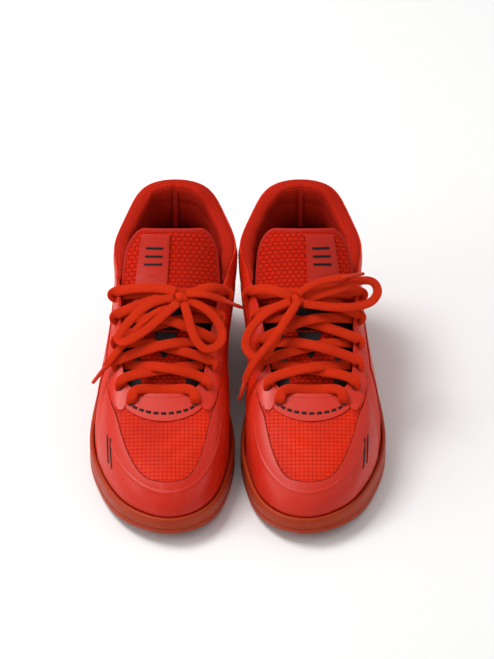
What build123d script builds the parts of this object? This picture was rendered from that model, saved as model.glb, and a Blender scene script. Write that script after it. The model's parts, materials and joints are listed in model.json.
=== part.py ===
"""A pair of basketball high tops, standing side by side with their toes towards -Y.

One shoe is described in its own frame: x across it (negative on the outer, lateral side), y from the toe tip to the
heel, z up from the floor. It is the shoe of the right foot, placed at -X, and the left shoe is its mirror image at +X.
The upper is a strip between two closed lines, the feather line where it meets the sole and the topline round the
throat and the collar. A point of it is skin(u, v, depth): u runs round the shoe (0 toe, 1 heel on the lateral side, 2
toe again on the medial side), v climbs from the feather line (0) to the topline (1), and depth goes into the shoe.
"""

from build123d import *
import math
import os
import numpy as np

# ---- driving dimensions, in millimetres ----
LENGTH = 292.0  # toe tip to heel, a men's size 8
PAIR_GAP = 0.8  # between the two shoes at their closest
WALL = 3.4  # rubber cup wall
BOTTOM = 5.0  # rubber under the foam
TEXTILE = 1.3  # ripstop of the upper
LINING = 1.6
FILM = 0.8  # overlays bonded on the outside
PRINT = 0.3  # label and emblem on the tongue
FIT = 0.2  # gap between layers
FEATHER = 0.7  # from the cup wall in to the foot of the upper, which leans out to it
PAD = 8.5  # collar foam
STIFFENER = 1.2  # heel counter and toe puff
TONGUE_HINGE = (92.0, 56.0)  # y, z of the seam that the tongue folds at
LACE_R = 2.0  # round stand-in for a woven oval of 6.5 by 2.5
UNDERLACE = 1.7  # from the tongue up to the lower of two crossing laces
CROSSING = 7.0  # how much higher the upper of two crossing laces lies
KNOT_R = 4.2
AGLET_R = 1.3
AGLET = 16.0  # length of the sheath on a lace's end
MEDIAL_X = 54.3  # innermost point of the shoe

BOARD = 1.6
INSOLE = 4.5
SHANK = 1.2
GROOVE = 1.6  # width of the flex grooves, and about their depth
GROOVES = (62.0, 78.0, 94.0, 110.0)
VAMP_U = 0.2  # where the vamp meets the quarters
SEAM = 0.0006  # half of the gap there
EYELET_V = 0.9
EYELET_R = 2.6
EYELETS = (0.13, 0.22, 0.31, 0.40, 0.49, 0.565)

SHOE_X = -(MEDIAL_X + PAIR_GAP / 2)
SHOE_Y = -LENGTH / 2

# Sole outline, from the toe tip down the lateral side and back up the medial side: u, x, y.
OUTLINE = [
    (0.00, 4.5, 0.0),
    (0.07, -15.0, 6.3),
    (0.15, -33.5, 24.0),
    (0.25, -47.7, 55.0),
    (0.38, -55.5, 96.0),
    (0.50, -52.0, 140.0),
    (0.62, -44.0, 185.0),
    (0.74, -36.5, 225.0),
    (0.87, -32.0, 262.0),
    (0.94, -20.5, 282.0),
    (1.00, 7.0, 292.0),
    (1.06, 33.5, 282.0),
    (1.13, 45.5, 262.0),
    (1.26, 46.5, 225.0),
    (1.38, 45.5, 185.0),
    (1.50, 47.0, 140.0),
    (1.62, 52.5, 98.0),
    (1.75, 48.5, 55.0),
    (1.85, 39.0, 24.0),
    (1.93, 23.5, 6.0),
]
# Topline and the lean of the skin at it: u, half width, y, z, then how far its control point lies outwards, forwards
# and down. The medial side uses the same stations, mirrored about the shoe's centre line.
TOPLINE = [
    (0.00, 0.0, 93.0, 66.0, 0.0, 48.0, 19.0),
    (0.14, 22.0, 97.0, 66.5, 12.0, 32.0, 12.0),
    (0.26, 30.0, 112.0, 72.0, 15.0, 16.0, 10.0),
    (0.42, 33.0, 140.0, 85.0, 12.0, 6.0, 14.0),
    (0.56, 38.0, 170.0, 100.0, 5.0, 2.0, 18.0),
    (0.66, 43.5, 203.0, 103.0, 2.0, 0.0, 24.0),
    (0.77, 45.5, 233.0, 101.0, 1.0, 0.0, 26.0),
    (0.88, 35.5, 263.0, 108.5, 1.0, 0.0, 28.0),
    (0.95, 21.0, 279.5, 119.0, 0.0, 2.5, 30.0),
    (1.00, 0.0, 284.0, 121.0, 0.0, 4.0, 32.0),
]
BULGE = 9.0  # how far the medial wall stands out over the waist of the sole
# Centre line of the upper: y, x.
CENTRE = [(0.0, 4.5), (60.0, 1.5), (110.0, 0.0), (180.0, 5.0), (236.0, 7.5), (292.0, 7.0)]
# Side view of the sole: y, z.
GROUND = [(-14.0, 11.0), (8.0, 6.5), (32.0, 2.2), (64.0, -0.2), (100.0, -0.8), (200.0, -0.8), (258.0, -0.2), (280.0, 1.6), (306.0, 5.0)]
FOAM_TOP = [(-14.0, 17.0), (40.0, 15.5), (96.0, 15.0), (160.0, 18.0), (230.0, 24.0), (306.0, 26.0)]
RIM = [(-14.0, 23.5), (30.0, 21.5), (96.0, 21.5), (150.0, 25.0), (200.0, 31.0), (250.0, 34.0), (306.0, 36.0)]

# Tongue, from its seam under the vamp to its top: s, y, z of its face, half width, thickness, drop of its edges.
TONGUE = [
    (0.0, 88.0, 56.5, 26.0, 2.5, 8.0),
    (0.18, 108.0, 68.0, 33.0, 4.0, 13.0),
    (0.45, 140.0, 88.5, 37.0, 6.0, 15.0),
    (0.7, 168.0, 104.5, 36.0, 8.0, 13.0),
    (0.84, 182.0, 118.0, 34.0, 9.0, 9.0),
    (1.0, 195.0, 139.0, 30.0, 7.0, 6.0),
]


# How each shoe's laces lie beyond the top eyelets, as x, y, z in the shoe's own frame: the knot, then what leaves it.
RIGHT_BOW = {
    "knot": (13.0, 154.0, 108.0),
    "lace_loop_lateral": [
        (7.7, 153.1, 108.5),
        (-4.0, 149.5, 110.5),
        (-16.0, 143.0, 107.0),
        (-27.5, 134.0, 99.5),
        (-34.5, 126.0, 92.0),
        (-30.5, 120.0, 92.0),
        (-17.0, 125.0, 96.5),
        (-4.5, 135.0, 102.0),
        (10.7, 149.1, 108.0),
    ],
    "lace_loop_medial": [
        (18.1, 152.2, 107.5),
        (27.5, 148.5, 105.5),
        (36.5, 143.5, 100.5),
        (43.0, 137.0, 93.0),
        (43.5, 128.5, 87.5),
        (37.0, 121.0, 86.0),
        (29.0, 119.0, 87.5),
        (22.5, 125.5, 93.0),
        (18.5, 136.5, 101.0),
        (15.0, 149.0, 107.5),
    ],
    "lace_end_lateral": [
        (9.3, 151.7, 104.4),
        (-3.0, 143.5, 105.5),
        (-15.0, 136.0, 101.0),
        (-25.0, 128.0, 92.0),
        (-34.5, 120.0, 84.5),
        (-43.0, 113.0, 76.0),
    ],
    "lace_end_medial": [
        (16.8, 154.3, 111.8),
        (26.0, 154.0, 112.5),
        (36.0, 155.0, 109.0),
        (45.0, 157.0, 103.0),
    ],
}
LEFT_BOW = {
    "knot": (10.0, 151.0, 108.5),
    "lace_loop_lateral": [
        (4.7, 151.9, 108.5),
        (-9.0, 154.5, 112.0),
        (-24.0, 160.5, 113.0),
        (-37.0, 169.0, 113.5),
        (-47.0, 172.0, 110.0),
        (-50.5, 165.0, 104.5),
        (-44.0, 155.5, 101.5),
        (-30.0, 149.0, 103.0),
        (-13.0, 145.5, 106.0),
        (5.9, 147.5, 108.0),
    ],
    "lace_loop_medial": [
        (15.1, 149.2, 108.5),
        (26.0, 146.0, 106.5),
        (37.0, 142.5, 100.0),
        (45.5, 137.5, 92.0),
        (49.5, 130.0, 85.0),
        (47.0, 122.0, 81.5),
        (40.5, 116.0, 81.0),
        (33.0, 116.5, 84.5),
        (26.5, 125.5, 93.0),
        (18.5, 137.5, 102.0),
        (11.7, 146.2, 106.7),
    ],
    "lace_end_lateral": [
        (9.8, 151.5, 113.9),
        (3.0, 155.0, 118.5),
        (-10.0, 159.5, 120.5),
        (-24.0, 164.0, 120.0),
    ],
    "lace_end_medial": [
        (9.6, 146.6, 111.6),
        (14.5, 136.0, 110.0),
        (25.0, 122.0, 100.0),
        (38.0, 113.0, 88.0),
        (46.5, 108.5, 76.0),
        (49.0, 106.0, 68.0),
    ],
}


def spline_through(knots, values, period=None):
    """A cubic spline through values at knots, as a function. Natural at its ends, or closed over period."""
    t = np.array(knots, float)
    f = np.array(values, float).reshape(len(t), -1)
    n = len(t)
    if period:
        h = np.diff(np.append(t, t[0] + period))
        nxt = np.roll(np.arange(n), -1)
    else:
        h = np.diff(t)
        nxt = np.arange(1, n)
    a, b = np.eye(n), np.zeros_like(f)
    for i in range(n) if period else range(1, n - 1):
        before, after = h[i - 1], h[i]
        j, k = (i - 1) % n, (i + 1) % n
        a[i] = 0
        a[i, j], a[i, i], a[i, k] = before, 2 * (before + after), after
        b[i] = 6 * ((f[k] - f[i]) / after - (f[i] - f[j]) / before)
    bend = np.linalg.solve(a, b)

    def at(x):
        if period:
            x = t[0] + (x - t[0]) % period
        i = min(max(int(np.searchsorted(t, x, "right")) - 1, 0), len(h) - 1)
        j = nxt[i]
        w = (x - t[i]) / h[i]
        curve = ((1 - w) ** 3 - (1 - w)) * bend[i] + (w**3 - w) * bend[j]
        return (1 - w) * f[i] + w * f[j] + h[i] ** 2 / 6 * curve

    return at


outline = spline_through([p[0] for p in OUTLINE], [p[1:] for p in OUTLINE], 2.0)
centre_x = spline_through([p[0] for p in CENTRE], [p[1] for p in CENTRE])
ground = spline_through([p[0] for p in GROUND], [p[1] for p in GROUND])
foam_top = spline_through([p[0] for p in FOAM_TOP], [p[1] for p in FOAM_TOP])
rim = spline_through([p[0] for p in RIM], [p[1] for p in RIM])
_lateral = [(p[0], -p[1], *p[2:4], -p[4], *p[5:]) for p in TOPLINE]
_medial = [(2 - p[0], *p[1:]) for p in TOPLINE[1:-1]]
_loop = sorted(_lateral + _medial)
topline = spline_through([p[0] for p in _loop], [p[1:] for p in _loop], 2.0)


def outline_in(u, inset):
    """A point of the sole outline, moved in by inset: (x, y)."""
    step = 1e-3
    p = outline(u)
    along = outline(u + step) - outline(u - step)
    along /= np.linalg.norm(along)
    return p + inset * np.array([along[1], -along[0]])


def skin_point(u, v):
    """A point of the outer face of the upper."""
    foot = outline_in(u, WALL + FEATHER)
    p0 = np.array([foot[0], foot[1], foam_top(foot[1])[0] + FIT])
    half, y, z, out, forward, down = topline(u)
    p3 = np.array([centre_x(y)[0] + half, y, z])
    p2 = p3 + np.array([out, -forward, -down])
    lean = outline_in(u, WALL + FEATHER - 3.0) - foot
    climb = 0.42 * (z - p0[2]) + 6.0 * math.cos(math.pi * min(u, 2 - u)) ** 2
    bulge = BULGE * math.exp(-(((u - 1.42) / 0.17) ** 2))
    p1 = p0 + np.array([lean[0] * 0.4, lean[1] * 0.4, climb])
    p2 = p2 + np.array([bulge, 0, 0])
    return (1 - v) ** 3 * p0 + 3 * (1 - v) ** 2 * v * p1 + 3 * (1 - v) * v**2 * p2 + v**3 * p3


def skin(u, v, depth=0.0):
    """A point of the upper, depth millimetres inside its outer face (negative is outside)."""
    du, dv = 2e-3, 1e-3
    p = skin_point(u, v)
    if depth == 0:
        return p
    across = skin_point(u + du, v) - skin_point(u - du, v)
    up = skin_point(u, min(v + dv, 1)) - skin_point(u, max(v - dv, 0))
    normal = np.cross(across, up)
    normal /= np.linalg.norm(normal)
    return p + normal * depth


# ---- solids from the skin ----
def patch(points):
    """A smooth face through a grid of points."""
    return Face.make_surface_from_array_of_points([[Vector(*p) for p in row] for row in points], tol=0.005)


def end_points(edge):
    return [edge.position_at(0), edge.position_at(1)]


def border(face, a, b):
    """The edge of a face that joins its corners a and b."""
    for edge in face.edges():
        p, q = end_points(edge)
        if min((p - a).length + (q - b).length, (p - b).length + (q - a).length) < 0.4:
            return edge
    raise ValueError("the patch has no such edge")


def thick_patch(outer, inner):
    """The closed solid between two grids of points of the same size."""
    faces = [patch(outer), patch(inner)]
    rows = [(0, 0, 0, -1), (0, -1, -1, -1), (-1, -1, -1, 0), (-1, 0, 0, 0)]
    for i, j, k, m in rows:
        pair = []
        for face, grid in zip(faces[:2], (outer, inner)):
            pair.append(border(face, Vector(*grid[i][j]), Vector(*grid[k][m])))
        faces.append(Face.make_surface_from_curves(pair[0], pair[1]))
    solid = Solid(Shell(faces))
    return solid if solid.volume > 0 else Solid(solid.wrapped.Reversed())


def panel(u0, u1, v0, v1, near, far, up=9, step=0.022):
    """A piece of the upper between two depths. v0 and v1 are numbers or functions of u."""
    across = max(6, round(abs(u1 - u0) / step))
    low = v0 if callable(v0) else lambda u: v0
    high = v1 if callable(v1) else lambda u: v1
    grids = []
    for depth in (near, far):
        grid = []
        for u in np.linspace(u0, u1, across):
            grid.append([skin(u, low(u) + (high(u) - low(u)) * t, depth) for t in np.linspace(0, 1, up)])
        grids.append(grid)
    return thick_patch(*grids)


def plan(inset, flare=0.0):
    """The sole outline moved in by inset, as a closed wire's edge at z 0."""
    us = np.arange(0, 2, 1 / 30)
    return Edge.make_spline([Vector(*outline_in(u, inset), flare) for u in us], periodic=True)


def prism(inset, low, high):
    """The outline moved in by inset, as an upright block from low to high."""
    face = Face(Wire([plan(inset, low)]))
    return Solid.extrude(face, Vector(0, 0, high - low))


def slab(low, high, low_offset=0.0, high_offset=0.0):
    """All that lies between two side-view lines, across the whole width."""
    ys = np.linspace(-12, 304, 12)
    bottom = Edge.make_spline([Vector(-90, y, low(y)[0] + low_offset) for y in ys])
    top = Edge.make_spline([Vector(-90, y, high(y)[0] + high_offset) for y in ys])
    ends = [Edge.make_line(bottom.position_at(t), top.position_at(t)) for t in (0, 1)]
    return Solid.extrude(Face(Wire([bottom, ends[1], top, ends[0]])), Vector(180, 0, 0))


def above_rim(u):
    """The v at which the skin comes clear of the rubber rim."""
    v = 0.0
    while skin_point(u, v)[2] < rim(skin_point(u, v)[1])[0] + 0.6:
        v += 0.01
    return v


# ---- sole ----
def sole():
    """The rubber cup, the foam in it, the shank between them, the lasting board and the loose insole."""
    outer = prism(0, 0, 60) & slab(ground, rim)
    well = prism(WALL, -5, 60) & slab(ground, rim, BOTTOM, 5)
    outsole = outer - well
    for y in GROOVES:
        outsole -= Pos(0, y, 0) * Box(150, GROOVE, 2 * GROOVE, align=(Align.CENTER, Align.CENTER, Align.CENTER))
    foam = prism(WALL + FIT, -5, 60) & slab(ground, foam_top, BOTTOM + FIT, 0)
    shank_box = Pos(3, 168, BOTTOM + FIT + SHANK / 2) * Box(34, 96, SHANK)
    shank = fillet(shank_box.edges().filter_by(Axis.Z), 12)
    foam -= Pos(3, 168, BOTTOM + FIT) * Box(35, 97, SHANK + 2 * FIT, align=(Align.CENTER, Align.CENTER, Align.MIN))
    inside = WALL + FEATHER + TEXTILE + STIFFENER + LINING + 4 * FIT + 0.3
    board = prism(inside, -5, 60) & slab(foam_top, foam_top, FIT, FIT + BOARD)
    insole = prism(inside + 0.6, -5, 60) & slab(foam_top, foam_top, BOARD + 2 * FIT, BOARD + 2 * FIT + INSOLE)
    return {"outsole": outsole, "midsole": foam, "shank_plate": shank, "lasting_board": board, "insole": insole}


# ---- upper ----
def guard_edge(u):
    """How high the toe guard climbs: low over the toe, so that the ripstop shows, and higher at its sides."""
    a = min(max(abs(u) - 0.05, 0.0) / 0.15, 1.0)
    return 0.41 + 0.31 * a * a * (3 - 2 * a)


def eyelet_place(u):
    """The middle of an eyelet on the skin, and the direction out of it."""
    p = skin(u, EYELET_V)
    out = p - skin(u, EYELET_V, 1.0)
    return p, out / np.linalg.norm(out)


def punch(solid, stations):
    for u in stations:
        p, out = eyelet_place(u)
        hole = Plane(origin=Vector(*p), z_dir=Vector(*out)) * Cylinder(EYELET_R, 20)
        solid -= hole
    return solid


def upper():
    """Ripstop, linings, stiffeners, padding and the bonded films, in layers from the outside in."""
    puff = TEXTILE + FIT
    lined = puff + STIFFENER + 2 * FIT
    lateral, medial = (VAMP_U + SEAM, 1 - SEAM), (1 + SEAM, 2 - VAMP_U - SEAM)
    film = (-FIT - FILM, -FIT)
    lateral_eyelets = [u for u in EYELETS if u > VAMP_U]
    medial_eyelets = [2 - u for u in lateral_eyelets]
    front_eyelets = [s * u for s in (-1, 1) for u in EYELETS if u < VAMP_U]
    linings = [panel(-VAMP_U, VAMP_U, 0, 0.97, lined, lined + LINING)]
    side_films = []
    parts = {
        "vamp": punch(panel(-VAMP_U, VAMP_U, 0, 1, 0, TEXTILE), front_eyelets),
        "toe_puff": panel(-0.16, 0.16, 0.04, 0.4, puff, puff + STIFFENER),
        "toe_guard": panel(-0.3, 0.3, above_rim, guard_edge, *film, 13, 0.015),
        "vamp_band": punch(panel(-0.15, 0.15, 0.84, 1, *film, 5), front_eyelets),
        "heel_counter": panel(0.8, 1.2, 0.02, 0.5, puff, puff + STIFFENER),
        "heel_cup": panel(0.84, 1.16, above_rim, 0.5, *film),
    }
    for side, (u0, u1), eyelets in (("lateral", lateral, lateral_eyelets), ("medial", medial, medial_eyelets)):
        mirror_u = (lambda u: u) if side == "lateral" else (lambda u: 2 - u)
        eyestay_u = sorted((mirror_u(0.152), mirror_u(0.62)))
        pad_u = sorted((mirror_u(0.66), mirror_u(1 - SEAM)))
        side_u = sorted((mirror_u(0.42), mirror_u(0.8)))
        parts["quarter_" + side] = punch(panel(u0, u1, 0, 1, 0, TEXTILE), eyelets)
        linings.append(panel(u0, u1, 0, 0.5, lined, lined + LINING))
        parts["eyestay_" + side] = punch(panel(*eyestay_u, 0.74, 1, *film, 5), eyelets)
        parts["collar_pad_" + side] = panel(*pad_u, 0.52, 1, puff, puff + PAD)
        side_films.append(panel(*side_u, above_rim, 0.6, *film))
    parts["linings"] = Compound(linings)
    parts["side_films"] = Compound(side_films)
    return parts


# ---- tongue ----
tongue_line = spline_through([p[0] for p in TONGUE], [p[1:] for p in TONGUE])


def tongue_point(s, t, depth=0.0):
    """A point of the tongue: s climbs from its seam to its top, t runs across it from -1 (lateral) to 1."""
    y, z, half, thick, drop = tongue_line(s)
    before, after = tongue_line(s - 0.01), tongue_line(s + 0.01)
    along = np.array([0, after[0] - before[0], after[1] - before[1]])
    along /= np.linalg.norm(along)
    lift = np.array([0, -along[2], along[1]])
    middle = np.array([centre_x(y)[0], y, z])
    return middle + np.array([half * t, 0, 0]) - lift * (drop * t * t + depth)


def tongue_panel(s0, s1, t0, t1, near, far, along=10, across=9):
    """A piece of the tongue. near and far are depths, or functions of s and t; t0 and t1 may be functions of s."""
    grids = []
    for depth in (near, far):
        deep = depth if callable(depth) else (lambda s, t, d=depth: d)
        grid = []
        for s in np.linspace(s0, s1, along):
            a, b = (e(s) if callable(e) else e for e in (t0, t1))
            grid.append([tongue_point(s, t, deep(s, t)) for t in np.linspace(a, b, across)])
        grids.append(grid)
    return thick_patch(*grids)


def tongue():
    """The padded tongue with what is bonded on it."""

    def under(s, t):
        return max(tongue_line(s)[3] * (1 - 0.6 * t**4), 1.2)

    return {
        "tongue": tongue_panel(0, 1, -1, 1, 0, under, 14, 11),
        "tongue_label": tongue_panel(0.62, 0.985, -0.74, -0.06, -FIT - PRINT, -FIT, 8, 5),
        "tongue_emblem": tongue_panel(
            0.3, 0.6, lambda s: -1.6 * (s - 0.29), lambda s: 1.6 * (s - 0.29), -FIT - PRINT, -FIT, 8, 5
        ),
    }


# ---- laces ----
def tongue_rest(y, t, height):
    """The middle of a lace that lies across the tongue at y, its underside height above the cloth."""
    s = min((abs(tongue_line(k / 200)[0] - y), k / 200) for k in range(201))[1]
    return tongue_point(s, t, -(LACE_R + height))


def eyelet_entry(u):
    """Three points of a lace that comes out of an eyelet and goes over the throat's edge."""
    above = FIT + FILM + LACE_R + 1.6
    return [skin(u, EYELET_V, 1.0), skin(u, EYELET_V, -above), skin(u, 1, -above)]


def held_laces(bow):
    """Routes of the lace where the shoe holds it: the lowest bar, the crossings, and the two strands to the knot."""
    first = EYELETS[0]
    y = topline(first)[1]
    bar = [*eyelet_entry(first), tongue_rest(y + 3, 0, 0.5)]
    routes = [bar + eyelet_entry(2 - first)[::-1]]
    for k in range(1, len(EYELETS) - 1):
        for side in (-1, 1):
            start, end = EYELETS[k], 2 - EYELETS[k + 1]
            if side > 0:
                start, end = 2 - start, 2 - end
            y0, y1 = topline(start)[1], topline(end)[1]
            lift = UNDERLACE if (side < 0) == (k % 2 == 1) else UNDERLACE + CROSSING
            half, y, z = topline(end)[:3]
            under = np.array([centre_x(y)[0] + half + side * 2.0, y, z - TEXTILE - LACE_R - 0.3])
            shoulder = tongue_rest(y0 + 0.76 * (y1 - y0), -side * 0.55, 1.8)
            routes.append([*eyelet_entry(start), tongue_rest((y0 + y1) / 2, 0, lift), shoulder, under])
    knot = np.array(bow["knot"])
    for u, side in ((EYELETS[-1], -1), (2 - EYELETS[-1], 1)):
        entry = eyelet_entry(u)
        knee = knot + np.array([side * 18.0, 7.5, 5.5])
        end = knot + np.array([side * 3.8, 3.2, 1.6 - side * 1.8])
        routes.append([*entry, knee, end])
    return routes


def bend_radii(points):
    """The bend at each inner point of a route, as round as its shorter run allows."""
    radii = []
    for a, b, c in zip(points, points[1:], points[2:]):
        before, after = Vector(*b) - Vector(*a), Vector(*c) - Vector(*b)
        half_turn = math.radians(before.get_angle(after)) / 2
        radii.append(min(0.45 * min(before.length, after.length) / math.tan(half_turn), 60.0))
    return radii


def tube(points, radius):
    """A round cord along straight runs joined by tangent arcs."""
    path = FilletPolyline(*[Vector(*p) for p in points], radius=bend_radii(points))
    return sweep(Plane(origin=path @ 0, z_dir=path % 0) * Circle(radius), path=path).solid()


def laces(bow):
    """One shoe's lace as the pieces it is seen in: held part, knot, two loops, two ends and their aglets."""
    knot = Pos(*bow["knot"]) * Sphere(KNOT_R)
    parts = {"laces": Compound([tube(route, LACE_R) for route in held_laces(bow)]), "lace_knot": knot.solid()}
    aglets = []
    for name, route in bow.items():
        if name == "knot":
            continue
        print(name, "bend radii", [round(x, 1) for x in bend_radii(route)])
        parts[name] = tube(route, LACE_R)
        if "end" in name:
            tip = Vector(*route[-1])
            along = (tip - Vector(*route[-2])).normalized()
            sheath = Cylinder(AGLET_R, AGLET, align=(Align.CENTER, Align.CENTER, Align.MIN))
            aglets.append((Plane(origin=tip + along * 0.05, z_dir=along) * sheath).solid())
    parts["aglets"] = Compound(aglets)
    return parts


def build(shoe):
    """Every sub-part of both shoes, in the row frame."""
    placed = {}
    for name, solid in {**shoe, **laces(RIGHT_BOW)}.items():
        placed["right_" + name] = Pos(SHOE_X, SHOE_Y, 0) * solid
    for name, solid in {**shoe, **laces(LEFT_BOW)}.items():
        placed["left_" + name] = mirror(Pos(SHOE_X, SHOE_Y, 0) * solid, about=Plane.YZ)
    return placed


def write(placed):
    os.makedirs("parts", exist_ok=True)
    for name, solid in placed.items():
        export_step(solid, f"parts/{name}.step")


if __name__ == "__main__":
    write(build({**sole(), **upper(), **tongue()}))
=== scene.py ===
import json
import math

import bmesh
import bpy
import numpy as np
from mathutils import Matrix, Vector


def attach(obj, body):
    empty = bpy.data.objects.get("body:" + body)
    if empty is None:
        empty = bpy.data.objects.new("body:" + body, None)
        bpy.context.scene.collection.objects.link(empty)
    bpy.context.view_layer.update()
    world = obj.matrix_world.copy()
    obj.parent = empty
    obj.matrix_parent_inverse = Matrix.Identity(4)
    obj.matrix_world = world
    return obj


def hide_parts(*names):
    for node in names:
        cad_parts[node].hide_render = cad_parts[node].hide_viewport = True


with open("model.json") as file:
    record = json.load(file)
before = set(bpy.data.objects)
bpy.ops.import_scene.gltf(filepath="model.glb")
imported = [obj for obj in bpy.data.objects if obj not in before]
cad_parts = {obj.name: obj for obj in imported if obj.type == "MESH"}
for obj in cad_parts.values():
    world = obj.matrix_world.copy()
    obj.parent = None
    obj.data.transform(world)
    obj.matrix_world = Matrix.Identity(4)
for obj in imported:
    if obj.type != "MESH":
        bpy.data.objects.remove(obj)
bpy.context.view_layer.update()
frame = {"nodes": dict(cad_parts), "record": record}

# Two basketball high tops. The shapes are worked out in millimetres in one shoe's frame, as the packed
# model's were: x across the shoe (negative is lateral), y from the toe tip to the heel, z up. place() puts
# them in the row frame in metres, and mirrors them for the left shoe. A point of the upper is
# skin(u, v, depth): u runs round the shoe (0 toe, 1 heel, below 1 lateral), v climbs from the sole (0) to the
# topline (1), and depth goes inwards.
HINGE = next(j for j in frame["record"]["behaviour"]["joints"] if j["name"] == "right_tongue_fold")["pos_m"]
TONGUE_HINGE_Y = 92.0
SHOE_X = HINGE[0] * 1000
SHOE_Y = HINGE[1] * 1000 - TONGUE_HINGE_Y

WALL, BOTTOM, FEATHER = 3.4, 5.0, 0.7
TEXTILE, LINING, FILM, FIT = 1.3, 1.6, 0.8, 0.2
STIFFENER = 1.2
LINER = TEXTILE + STIFFENER + 3 * FIT
VAMP_U = 0.2
BULGE = 9.0
EYELET_V = 0.9
EYELETS = (0.13, 0.22, 0.31, 0.40, 0.49, 0.565)
LACE_WIDTH, LACE_THICK, END_WIDTH = 6.8, 2.5, 5.6
HELD_WIDTH, HELD_THICK = 7.8, 2.5
LACE_R = 2.0
UNDERLACE = 1.7
CROSSING = 7.0
AGLET = 16.0
LINE_STEP = 0.02  # between the points of a print or a stitched line

OUTLINE = [
    (0.00, 4.5, 0.0), (0.07, -15.0, 6.3), (0.15, -33.5, 24.0), (0.25, -47.7, 55.0), (0.38, -55.5, 96.0),
    (0.50, -52.0, 140.0), (0.62, -44.0, 185.0), (0.74, -36.5, 225.0), (0.87, -32.0, 262.0),
    (0.94, -20.5, 282.0), (1.00, 7.0, 292.0), (1.06, 33.5, 282.0), (1.13, 45.5, 262.0),
    (1.26, 46.5, 225.0), (1.38, 45.5, 185.0), (1.50, 47.0, 140.0), (1.62, 52.5, 98.0),
    (1.75, 48.5, 55.0), (1.85, 39.0, 24.0), (1.93, 23.5, 6.0),
]
TOPLINE = [
    (0.00, 0.0, 93.0, 66.0, 0.0, 48.0, 19.0),
    (0.14, 22.0, 97.0, 66.5, 12.0, 32.0, 12.0),
    (0.26, 30.0, 112.0, 72.0, 15.0, 16.0, 10.0),
    (0.42, 33.0, 140.0, 85.0, 12.0, 6.0, 14.0),
    (0.56, 38.0, 170.0, 100.0, 5.0, 2.0, 18.0),
    (0.66, 43.5, 203.0, 103.0, 2.0, 0.0, 24.0),
    (0.77, 45.5, 233.0, 101.0, 1.0, 0.0, 26.0),
    (0.88, 35.5, 263.0, 108.5, 1.0, 0.0, 28.0),
    (0.95, 21.0, 279.5, 119.0, 0.0, 2.5, 30.0),
    (1.00, 0.0, 284.0, 121.0, 0.0, 4.0, 32.0),
]
CENTRE = [(0.0, 4.5), (60.0, 1.5), (110.0, 0.0), (180.0, 5.0), (236.0, 7.5), (292.0, 7.0)]
GROUND = [
    (-14.0, 11.0), (8.0, 6.5), (32.0, 2.2), (64.0, -0.2), (100.0, -0.8), (200.0, -0.8), (258.0, -0.2),
    (280.0, 1.6), (306.0, 5.0),
]
FOAM_TOP = [(-14.0, 17.0), (40.0, 15.5), (96.0, 15.0), (160.0, 18.0), (230.0, 24.0), (306.0, 26.0)]
RIM = [(-14.0, 23.5), (30.0, 21.5), (96.0, 21.5), (150.0, 25.0), (200.0, 31.0), (250.0, 34.0), (306.0, 36.0)]
TONGUE = [
    (0.0, 88.0, 56.5, 26.0, 2.5, 8.0),
    (0.18, 108.0, 68.0, 33.0, 4.0, 13.0),
    (0.45, 140.0, 88.5, 37.0, 6.0, 15.0),
    (0.7, 168.0, 104.5, 36.0, 8.0, 13.0),
    (0.84, 182.0, 118.0, 34.0, 9.0, 9.0),
    (1.0, 195.0, 139.0, 30.0, 7.0, 6.0),
]

# How each shoe's laces lie beyond the top eyelets: the knot, then what leaves it.
RIGHT_BOW = {
    "knot": (13.0, 154.0, 108.0),
    "lace_loop_lateral": [
        (7.7, 153.1, 108.5), (-4.0, 149.5, 110.5), (-16.0, 143.0, 107.0), (-27.5, 134.0, 99.5),
        (-34.5, 126.0, 92.0), (-30.5, 120.0, 92.0), (-17.0, 125.0, 96.5), (-4.5, 135.0, 102.0),
        (10.7, 149.1, 108.0),
    ],
    "lace_loop_medial": [
        (18.1, 152.2, 107.5), (27.5, 148.5, 105.5), (36.5, 143.5, 100.5), (43.0, 137.0, 93.0),
        (43.5, 128.5, 87.5), (37.0, 121.0, 86.0), (29.0, 119.0, 87.5), (22.5, 125.5, 93.0),
        (18.5, 136.5, 101.0), (15.0, 149.0, 107.5),
    ],
    "lace_end_lateral": [
        (9.3, 151.7, 104.4), (-3.0, 143.5, 105.5), (-15.0, 136.0, 101.0), (-25.0, 128.0, 92.0),
        (-34.5, 120.0, 84.5), (-43.0, 113.0, 76.0),
    ],
    "lace_end_medial": [
        (16.8, 154.3, 111.8), (26.0, 154.0, 112.5), (36.0, 155.0, 109.0), (45.0, 157.0, 103.0),
    ],
}
LEFT_BOW = {
    "knot": (10.0, 151.0, 108.5),
    "lace_loop_lateral": [
        (4.7, 151.9, 108.5), (-9.0, 154.5, 112.0), (-24.0, 160.5, 113.0), (-37.0, 169.0, 113.5),
        (-47.0, 172.0, 110.0), (-50.5, 165.0, 104.5), (-44.0, 155.5, 101.5), (-30.0, 149.0, 103.0),
        (-13.0, 145.5, 106.0), (5.9, 147.5, 108.0),
    ],
    "lace_loop_medial": [
        (15.1, 149.2, 108.5), (26.0, 146.0, 106.5), (37.0, 142.5, 100.0), (45.5, 137.5, 92.0),
        (49.5, 130.0, 85.0), (47.0, 122.0, 81.5), (40.5, 116.0, 81.0), (33.0, 116.5, 84.5),
        (26.5, 125.5, 93.0), (18.5, 137.5, 102.0), (11.7, 146.2, 106.7),
    ],
    "lace_end_lateral": [
        (9.8, 151.5, 113.9), (3.0, 155.0, 118.5), (-10.0, 159.5, 120.5), (-24.0, 164.0, 120.0),
    ],
    "lace_end_medial": [
        (9.6, 146.6, 111.6), (14.5, 136.0, 110.0), (25.0, 122.0, 100.0), (38.0, 113.0, 88.0),
        (46.5, 108.5, 76.0), (49.0, 106.0, 68.0),
    ],
}


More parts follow.
